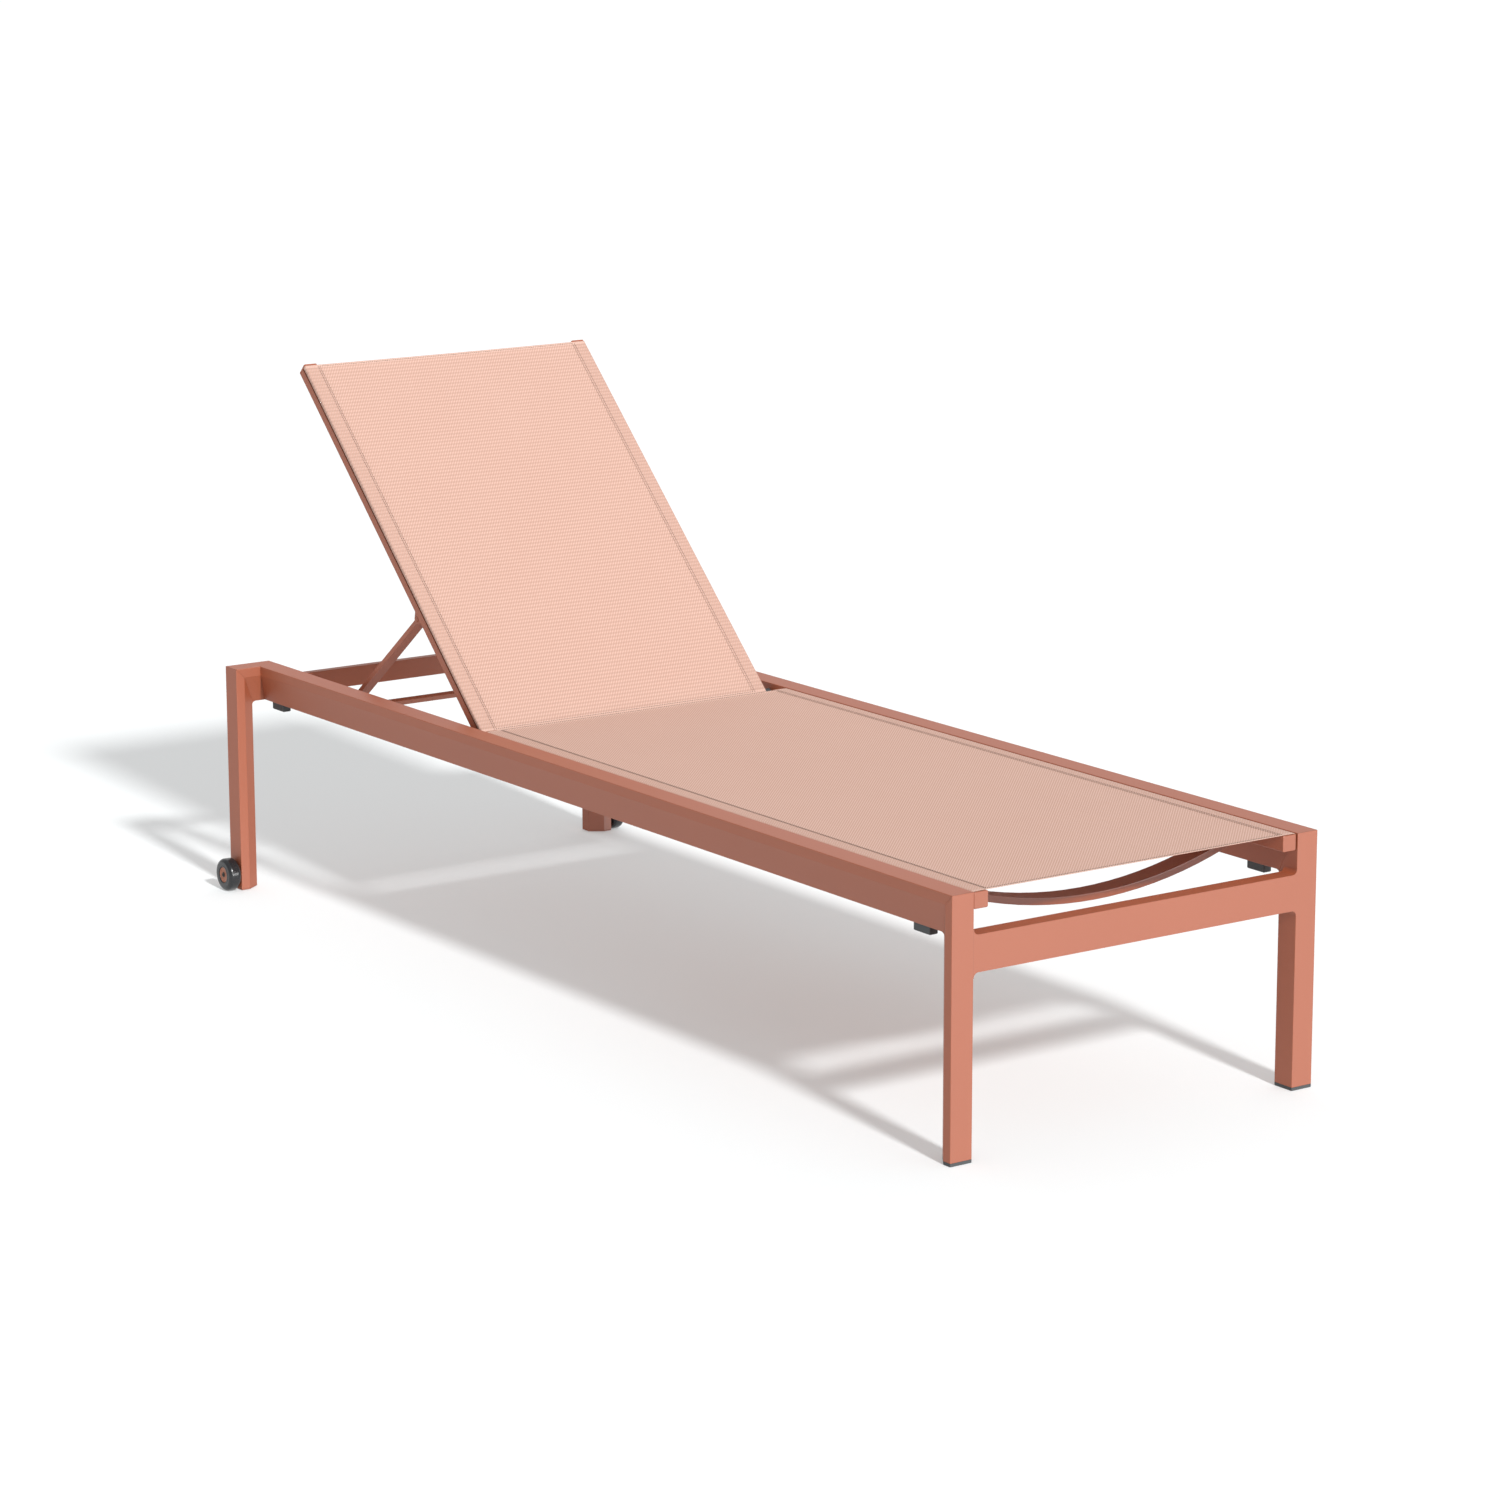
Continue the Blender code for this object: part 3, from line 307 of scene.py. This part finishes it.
def moulded_nylon(name, colour):
    """Black moulded plastic with a fine spark-eroded grain, and sharp edges painted lighter, partly
    as wear and partly as a painted highlight.
    """
    graph = Graph(name)
    place = graph.object_place()
    grain = graph.noise(place, scale=1800.0, detail=3.0)
    drift = graph.noise(place, scale=60.0)
    tone = graph.mix_tones(drift, colour, NYLON_DRIFT_TONES)
    # Sharp edges painted lighter: partly wear, partly a painted highlight
    rubbed_and_highlit = graph.math("MULTIPLY", worn_and_highlit_edges(graph), NYLON_EDGE_WEAR_HIGHLIGHT_SHARE)
    tone = graph.mix(rubbed_and_highlit, tone, shade(colour, NYLON_EDGE_WEAR_HIGHLIGHT_TONE))
    roughness = graph.spread(grain, *NYLON_ROUGHNESS)
    return graph.finish(tone, roughness, graph.bump(grain, distance=0.00005, strength=0.6))


def tyre_rubber(name, colour):
    """Smooth dark tyre with faint turned lines and a little dust."""
    graph = Graph(name)
    place = graph.object_place()
    dust = graph.noise(place, scale=140.0, detail=4.0)
    dusty = graph.spread(dust, 0.0, TYRE_DUST_SHARE)
    tone = graph.mix(dusty, colour, shade(colour, TYRE_DUST_TONE))
    split = graph.node("SeparateXYZ")
    graph.feed(split.inputs[0], place)
    lines = graph.math("SINE", graph.math("MULTIPLY", split.outputs["X"], TYRE_LINES))
    roughness = graph.spread(dust, *TYRE_ROUGHNESS)
    return graph.finish(tone, roughness, graph.bump(lines, distance=0.00001, strength=0.3))


def turned_steel(name, colour):
    """Steel with fine scratches."""
    graph = Graph(name)
    scratches = graph.noise(graph.object_place(), scale=900.0, detail=4.0)
    tone = graph.mix_tones(scratches, colour, STEEL_TONES)
    roughness = graph.spread(scratches, *STEEL_ROUGHNESS)
    normal = graph.bump(scratches, distance=0.00003, strength=0.4)
    return graph.finish(tone, roughness, normal, Metallic=1.0)


def wave(graph, cycles):
    return graph.math("COSINE", graph.math("MULTIPLY", cycles, 2 * math.pi))


def yarn_profile(graph, repeats):
    """The rounded profile of the yarns side by side, 0 in the gaps between them."""
    place = graph.math("FRACT", graph.math("MULTIPLY", repeats, YARNS_PER_REPEAT))
    centred = graph.math("ABSOLUTE", graph.math("MULTIPLY_ADD", place, 2.0, -1.0))
    round_top = graph.math("SUBTRACT", 1.0, graph.math("POWER", centred, YARN_SQUARENESS))
    return graph.math("MULTIPLY", round_top, YARN_SHARE)


def yarn_tones(graph, across, along):
    """A random tone from 0 to 1 for each stretch of each lengthwise yarn."""
    yarn = graph.node("CombineXYZ")
    count = graph.math("MULTIPLY", across, YARNS_PER_REPEAT)
    graph.feed(yarn.inputs[0], graph.math("FLOOR", count))
    graph.feed(yarn.inputs[1], graph.math("FLOOR", graph.math("MULTIPLY", along, STREAKS)))
    tones = graph.node("TexWhiteNoise", noise_dimensions="3D")
    graph.feed(tones.inputs["Vector"], yarn.outputs[0])
    return tones.outputs["Value"]


def hem_colour(graph, colour, across, along, light, dark):
    """Darker specks where the side hems double the mesh, and a painted highlight: a paler band
    along the rolled end hems.
    """
    doubled = graph.node("Attribute", attribute_name="side_hem").outputs["Fac"]
    counter_twill = wave(graph, graph.math("ADD", across, along))
    pairs = wave(graph, graph.math("MULTIPLY", across, 2.0))
    crossing = graph.math("MULTIPLY", counter_twill, pairs)
    specks = graph.math("GREATER_THAN", crossing, SPECK_LEVEL)
    specks = graph.math("MULTIPLY", graph.math("MULTIPLY", specks, doubled), SPECK_SHARE)
    colour = graph.mix(specks, colour, shade(dark, SPECK_TONE))
    # Painted highlight: the end hems are painted paler
    hem_highlight = graph.node("Attribute", attribute_name="end_hem").outputs["Fac"]
    hem_highlight = graph.math("MULTIPLY", hem_highlight, END_HEM_HIGHLIGHT_SHARE)
    return graph.mix(hem_highlight, colour, shade(light, END_HEM_HIGHLIGHT_TONE))


def mesh_weave(name, light, dark, twill_share, pick_share):
    """The sling's mesh, read from UVs that are in metres."""
    graph = Graph(name)
    split = graph.node("SeparateXYZ")
    graph.feed(split.inputs[0], graph.node("UVMap", uv_map="Metres").outputs[0])
    across = graph.math("DIVIDE", split.outputs["X"], WEAVE_ACROSS)
    along = graph.math("DIVIDE", split.outputs["Y"], WEAVE_ALONG)

    twill = wave(graph, graph.math("SUBTRACT", across, along))
    warp_wave = graph.math("MULTIPLY", twill, WAVE_SHARE)
    weft_wave = graph.math("MULTIPLY", twill, -WAVE_SHARE)
    warp = graph.math("ADD", warp_wave, yarn_profile(graph, across))
    weft = graph.math("ADD", weft_wave, yarn_profile(graph, along))
    height = graph.math("MAXIMUM", warp, weft)
    over = graph.math("SUBTRACT", warp, weft)
    warp_on_top = graph.math("MULTIPLY_ADD", over, OVERLAP_CONTRAST, 0.5, clamp=True)
    # Painted shade: the sunken parts of the yarns are darkened and the raised parts left light
    painted_yarn_shade = graph.math("MULTIPLY_ADD", height, YARN_SHADE_CONTRAST, YARN_SHADE_BASE, clamp=True)

    ridge = graph.math("MULTIPLY_ADD", graph.math("SUBTRACT", warp_on_top, 0.5), twill_share, 0.5)
    colour = graph.mix(ridge, shade(dark, RIDGE_SIDE_TONE), light)
    colour = graph.mix(painted_yarn_shade, dark, colour)
    picks = graph.math("MULTIPLY_ADD", wave(graph, along), pick_share, pick_share)
    colour = graph.mix(picks, colour, shade(dark, PICK_TONE))
    streak = graph.math("MULTIPLY", yarn_tones(graph, across, along), YARN_STREAK_SHARE)
    colour = graph.mix(streak, colour, shade(dark, YARN_STREAK_TONE))
    drift = graph.spread(graph.noise(graph.object_place(), scale=9.0), 0.0, CLOTH_DRIFT_SHARE)
    colour = graph.mix(drift, colour, shade(light, CLOTH_DRIFT_TONE))
    colour = hem_colour(graph, colour, across, along, light, dark)
    normal = graph.bump(height, distance=0.0003, strength=0.7)
    return graph.finish(colour, CLOTH_ROUGHNESS, normal, Specular_IOR_Level=CLOTH_SPECULAR)


def sewing_thread(name, colour):
    """Dark twisted thread."""
    graph = Graph(name)
    twist = graph.noise(graph.object_place(), scale=3500.0, detail=1.0)
    tone = graph.mix_tones(twist, colour, THREAD_TONES)
    normal = graph.bump(twist, distance=0.0001, strength=0.8)
    return graph.finish(tone, THREAD_ROUGHNESS, normal)


# Pieces

def add_object(name, data):
    made = bpy.data.objects.new(name, data)
    bpy.context.scene.collection.objects.link(made)
    return made


def mesh_from(name, bm, material):
    mesh = bpy.data.meshes.new(name)
    bm.to_mesh(mesh)
    bm.free()
    mesh.materials.append(material)
    return mesh


def add_piece(name, bm, material, body):
    piece = add_object(name, mesh_from(name, bm, material))
    piece.data.shade_smooth()
    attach(piece, body)
    return piece


def long_axis(node):
    """The direction that a CAD node of one even section runs in, towards +Y."""
    points = np.array([v.co for v in frame["nodes"][node].data.vertices])
    middle = points.mean(0)
    direction = Vector(np.linalg.svd(points - middle, full_matrices=False)[2][0]).normalized()
    return direction if direction.y > 0 else -direction


class Plane:
    """The front plane of two sling tubes: X across, s along the tubes, h out of the front faces."""

    def __init__(self, tubes, sling):
        self.along = long_axis(sling)
        self.out = Vector((1, 0, 0)).cross(self.along)
        points = [v.co for tube in tubes for v in frame["nodes"][tube].data.vertices]
        self.front = max(p.dot(self.out) for p in points)
        self.half = max(abs(p.x) for p in points)
        reach = [v.co.dot(self.along) for v in frame["nodes"][sling].data.vertices]
        self.low, self.high = min(reach), max(reach)

    def place(self, x, s, h):
        return Vector((x, 0, 0)) + self.along * s + self.out * (self.front + h)


def section_path(plane):
    """Half of the sling's outer face from the middle to the slot, as (x, h, arc length, in hem)."""
    top = SLING_GAP + SLING_THICKNESS
    corner_x = plane.half + top - WRAP_RADIUS
    hem_x = plane.half - HEM_FROM_TUBE_EDGE
    flat = [hem_x * i / PANEL_STEPS for i in range(PANEL_STEPS)]
    flat += [hem_x - HEM_EDGE, hem_x + HEM_EDGE]
    flat += [hem_x + (corner_x - hem_x) * i / HEM_STEPS for i in range(1, HEM_STEPS + 1)]
    points = [(x, top + (HEM_STEP if x > hem_x else 0.0), x > hem_x) for x in flat]
    for i in range(1, CORNER_STEPS + 1):
        turn = math.radians(90 * i / CORNER_STEPS)
        x = corner_x + WRAP_RADIUS * math.sin(turn)
        h = top - WRAP_RADIUS * (1 - math.cos(turn)) + HEM_STEP * (1 - i / CORNER_STEPS)
        points.append((x, h, True))
    turn_h = top - SLOT_TOP
    for i in range(1, TURN_STEPS + 1):
        turn = math.radians(90 * i / TURN_STEPS)
        x = plane.half + top * math.cos(turn)
        points.append((x, turn_h - (top + SLOT_INSET) * math.sin(turn), True))
    points.append((plane.half - SLING_TUCK, turn_h - top - SLOT_INSET, True))
    path, run, last = [], 0.0, None
    for x, h, hem in points:
        if last:
            run += math.dist((x, h), last)
        last = (x, h)
        path.append((x, h, run, hem))
    return path


def end_shape(plane, x, s):
    """How far a point's place along the sling is drawn in, and how far it sags."""
    middle = 1 - min(1.0, (x / (plane.half - HEM_FROM_TUBE_EDGE)) ** 2)
    length = plane.high - plane.low
    t = (s - plane.low) / length
    near_end = max(0.0, 1 - min(t, 1 - t) * length / EDGE_REACH) ** 2
    drawn = EDGE_DRAW * middle * near_end * (1 if t < 0.5 else -1)
    return drawn, SAG * middle * (1 - SAG_LOST_AT_ENDS * near_end)


def sling_steps(plane):
    """Stations along the sling, close together at the hemmed ends."""
    low, high = plane.low, plane.high
    inner = np.linspace(low + INNER_START, high - INNER_START, INNER_STATIONS)
    return ([low + e for e in END_STATIONS] + list(inner)
            + [high - e for e in reversed(END_STATIONS)])


def make_sling(name, plane, body, material, drawn_out):
    """The cloth's outer face as a grid, from slot to slot and end to end, thickened inwards."""
    path = section_path(plane)
    full = [(-x, h, -run, hem) for x, h, run, hem in reversed(path[1:])] + path
    bm = bmesh.new()
    uv = bm.loops.layers.uv.new("Metres")
    side_hem = bm.verts.layers.float.new("side_hem")
    end_hem = bm.verts.layers.float.new("end_hem")
    rows, places = [], {}
    for s in sling_steps(plane):
        row = []
        from_end = min(s - plane.low, plane.high - s)
        for x, h, run, hem in full:
            drawn, sag = end_shape(plane, x, s)
            rise = HEM_STEP if from_end < END_HEM and not hem else 0.0
            vert = bm.verts.new(plane.place(x, s + drawn, h - sag + rise))
            vert[side_hem] = float(hem)
            vert[end_hem] = float(from_end < END_HEM)
            places[vert] = (run, s / drawn_out)
            row.append(vert)
        rows.append(row)
    for low, high in zip(rows, rows[1:]):
        for i in range(len(low) - 1):
            face = bm.faces.new((low[i], low[i + 1], high[i + 1], high[i]))
            for loop in face.loops:
                loop[uv].uv = places[loop.vert]
    sling = add_piece(name, bm, material, body)
    solid = sling.modifiers.new("thickness", "SOLIDIFY")
    solid.thickness = SLING_THICKNESS
    solid.offset = -1.0
    solid.use_even_offset = True
    return sling


def stitch(bm, centre, along, out, across):
    """One stitch: a short thread that dives into the cloth at both ends."""
    rings = []
    for t, rise, thick in STITCH_PROFILE:
        middle = centre + along * (t * STITCH_LENGTH) + out * (rise * STITCH_RADIUS)
        ring = []
        for k in range(STITCH_SIDES):
            turn = 2 * math.pi * k / STITCH_SIDES
            offset = across * math.cos(turn) + out * math.sin(turn)
            ring.append(bm.verts.new(middle + offset * STITCH_RADIUS * thick))
        rings.append(ring)
    for low, high in zip(rings, rings[1:]):
        for k in range(STITCH_SIDES):
            bm.faces.new((low[k - 1], low[k], high[k], high[k - 1]))
    bm.faces.new(list(reversed(rings[0])))
    bm.faces.new(rings[-1])


def make_stitching(name, plane, body, material):
    """Two rows of stitches along each side hem and one row along each end hem."""
    top = SLING_GAP + SLING_THICKNESS + STITCH_RADIUS * STITCH_LIFT
    x_axis = Vector((1, 0, 0))
    bm = bmesh.new()
    for row in SIDE_STITCH_ROWS:
        count = int((plane.high - plane.low - 2 * STITCH_MARGIN) / STITCH_PITCH)
        rise = HEM_STEP if row < HEM_FROM_TUBE_EDGE else 0.0
        x = plane.half - row
        for i in range(count):
            s = plane.low + STITCH_MARGIN + STITCH_PITCH * (i + 0.5)
            drawn, sag = end_shape(plane, x, s)
            for side in (-1, 1):
                centre = plane.place(side * x, s + drawn, top + rise - sag)
                stitch(bm, centre, plane.along, plane.out, x_axis)
    reach = plane.half - HEM_FROM_TUBE_EDGE
    count = int(2 * reach / STITCH_PITCH)
    for i in range(count):
        x = -reach + STITCH_PITCH * (i + 0.5)
        for s in (plane.low + END_STITCH_ROW, plane.high - END_STITCH_ROW):
            drawn, sag = end_shape(plane, x, s)
            centre = plane.place(x, s + drawn, top + HEM_STEP - sag)
            stitch(bm, centre, x_axis, plane.out, plane.along)
    return add_piece(name, bm, material, body)


def make_weld_seam(label, side, material):
    """The ground weld on the front face, between a foot leg and the crossbar."""
    corners = [v.co for v in frame["nodes"]["foot_crossbar"].data.vertices]
    end = max(c.x for c in corners)
    front = min(c.y for c in corners)
    low, high = min(c.z for c in corners), max(c.z for c in corners)
    bm = bmesh.new()
    made = bmesh.ops.create_cube(bm, size=1.0)
    inner, outer = end - WELD_LAP_BAR, end + WELD_LAP_LEG
    for vert in made["verts"]:
        x = inner if vert.co.x < 0 else outer
        vert.co = (side * x, front + (WELD_DEPTH if vert.co.y > 0 else -WELD_PROUD),
                   high if vert.co.z > 0 else low)
    bmesh.ops.recalc_face_normals(bm, faces=bm.faces)
    bmesh.ops.bevel(bm, geom=bm.edges[:], offset=WELD_EASE, segments=WELD_EASE_STEPS, profile=0.5,
                    affect="EDGES")
    seam = add_piece("foot_weld_" + label, bm, material, "frame")
    seam.data.shade_flat()


def tyre_profile(half, radius, bore):
    """Half of a tyre's section from the middle of its tread to its bore, as (x, radius)."""
    profile = [(0.0, radius)]
    for i in range(TYRE_SHOULDER_STEPS + 1):
        turn = math.radians(90 * i / TYRE_SHOULDER_STEPS)
        profile.append((half - TYRE_SHOULDER * (1 - math.sin(turn)),
                        radius - TYRE_SHOULDER * (1 - math.cos(turn))))
    bead = bore + TYRE_EASE + TYRE_BEAD_WIDTH
    profile += [(half, bead + TYRE_BEAD_PROUD), (half + TYRE_BEAD_PROUD, bead)]
    profile += [(half + TYRE_BEAD_PROUD, bore + TYRE_EASE), (half - TYRE_EASE, bore)]
    return profile


def make_tyre(label, material):
    """A tyre turned about its axle, with rounded shoulders and a raised bead round the hub."""
    node = "wheel_tyre_" + label
    low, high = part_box(node)
    middle = (low + high) / 2
    bore = min(math.hypot(v.co.y - middle.y, v.co.z - middle.z)
               for v in frame["nodes"][node].data.vertices)
    right = tyre_profile((high.x - low.x) / 2, (high.z - low.z) / 2, bore)
    section = right + [(-x, r) for x, r in reversed(right[1:])]
    bm = bmesh.new()
    rings = []
    for i in range(TYRE_STEPS):
        turn = 2 * math.pi * i / TYRE_STEPS
        spoke = Vector((0, math.cos(turn), math.sin(turn)))
        rings.append([bm.verts.new(middle + Vector((x, 0, 0)) + spoke * r) for x, r in section])
    for i, ring in enumerate(rings):
        before = rings[i - 1]
        for k in range(len(section)):
            bm.faces.new((before[k - 1], before[k], ring[k], ring[k - 1]))
    bmesh.ops.recalc_face_normals(bm, faces=bm.faces)
    tyre = add_piece("tyre_" + label, bm, material, "wheel_" + label)
    tyre.data.set_sharp_from_angle(angle=TYRE_SHARP_ANGLE)
    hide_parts(node)


# The room

def make_floor():
    paint = Graph("studio_floor").set_constants(
        Base_Color=(*FLOOR_ALBEDO, 1.0), Roughness=FLOOR_ROUGHNESS, Specular_IOR_Level=0.0,
        Emission_Color=(1.0, 1.0, 1.0, 1.0), Emission_Strength=FLOOR_GLOW)
    bm = bmesh.new()
    bmesh.ops.create_grid(bm, x_segments=1, y_segments=1, size=FLOOR_REACH)
    floor = add_object("studio_floor", mesh_from("studio_floor", bm, paint))
    floor.location.z = -FLOOR_DROP


def add_lamp(name, direction, angle, strength):
    data = bpy.data.lights.new(name, "SUN")
    data.angle = angle
    data.energy = strength
    lamp = add_object(name, data)
    lamp.rotation_mode = "QUATERNION"
    lamp.rotation_quaternion = Vector(direction).to_track_quat("Z", "Y")
    return lamp


def make_light():
    world = bpy.data.worlds.new("studio")
    bpy.context.scene.world = world
    world.use_nodes = True
    tree = world.node_tree
    background = tree.nodes["Background"]
    direction = tree.nodes.new("ShaderNodeTexCoord")
    towards = tree.nodes.new("ShaderNodeVectorMath")
    towards.operation = "DOT_PRODUCT"
    towards.inputs[1].default_value = BACKDROP_DIRECTION
    fade = tree.nodes.new("ShaderNodeMapRange")
    fade.interpolation_type = "SMOOTHSTEP"
    fade.inputs["From Min"].default_value = BACKDROP_EDGE[0]
    fade.inputs["From Max"].default_value = BACKDROP_EDGE[1]
    fade.inputs["To Min"].default_value = ROOM_DARK
    fade.inputs["To Max"].default_value = ROOM_BACKDROP
    tree.links.new(direction.outputs["Generated"], towards.inputs[0])
    tree.links.new(towards.outputs["Value"], fade.inputs["Value"])
    tree.links.new(fade.outputs["Result"], background.inputs["Strength"])
    background.inputs["Color"].default_value = (1.0, 1.0, 1.0, 1.0)
    add_lamp("key", KEY_DIRECTION, KEY_ANGLE, KEY_STRENGTH)
    sheen = add_lamp("sheen", SHEEN_DIRECTION, SHEEN_ANGLE, SHEEN_STRENGTH)
    sheen.visible_diffuse = False


def make_camera():
    data = bpy.data.cameras.new("camera")
    data.lens = CAMERA_LENS
    data.sensor_width = CAMERA_SENSOR
    camera = add_object("camera", data)
    flat = math.cos(CAMERA_ELEVATION)
    back = Vector((math.sin(CAMERA_AZIMUTH) * flat, -math.cos(CAMERA_AZIMUTH) * flat,
                   math.sin(CAMERA_ELEVATION)))
    turn = back.to_track_quat("Z", "Y").to_matrix().to_4x4() @ Matrix.Rotation(CAMERA_ROLL, 4, "Z")
    camera.matrix_world = Matrix.Translation(CAMERA_PLACE) @ turn
    bpy.context.scene.camera = camera


def paint_frame():
    """Gives each hard CAD node its finish, and gives back the finishes by slot."""
    slots = {entry["node"]: entry["material_slot"] for entry in frame["record"]["subparts"]}
    finishes = {
        "terracotta_powder_coat": powder_coat("terracotta_powder_coat", TERRACOTTA),
        "black_nylon": moulded_nylon("black_nylon", NYLON),
        "dark_tyre": tyre_rubber("dark_tyre", TYRE),
        "copper_hub": powder_coat("copper_hub", HUB),
        "stainless_steel": turned_steel("stainless_steel", STEEL),
    }
    coat = finishes["terracotta_powder_coat"]
    # Painted shade: the axle ends are painted near black for the shade in the hub's bore; the
    # rivets are coated like the frame
    axle_shade_finish = turned_steel("axle_painted_shade_steel", AXLE_PAINTED_SHADE)
    own_finish = {"wheel_axle_left": axle_shade_finish, "wheel_axle_right": axle_shade_finish,
                  "stay_rivet_left": coat, "stay_rivet_right": coat}
    for name, node in frame["nodes"].items():
        if slots[name] in finishes:
            node.data.materials.clear()
            node.data.materials.append(own_finish.get(name, finishes[slots[name]]))
    return finishes


bpy.context.scene.view_settings.view_transform = "Standard"

make_camera()
make_light()
make_floor()
finishes = paint_frame()
for label, side in (("left", -1), ("right", 1)):
    make_weld_seam(label, side, finishes["terracotta_powder_coat"])
    make_tyre(label, finishes["dark_tyre"])

thread = sewing_thread("sewing_thread", THREAD)
slings = (("seat", "frame", 1.0, SEAT_TWILL, SEAT_PICKS),
          ("back", "backrest", BACK_DRAWN_OUT, BACK_TWILL, BACK_PICKS))
for label, body, drawn_out, twill_share, pick_share in slings:
    tubes = [label + "_tube_left", label + "_tube_right"]
    plane = Plane(tubes, label + "_sling")
    weave = mesh_weave(label + "_mesh_weave", YARN_LIGHT, YARN_DARK, twill_share, pick_share)
    sling = make_sling(label + "_fabric", plane, body, weave, drawn_out)
    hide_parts(label + "_sling")
    stitching = make_stitching(label + "_stitching", plane, body, thread)
    width = 2 * section_path(plane)[-1][2]
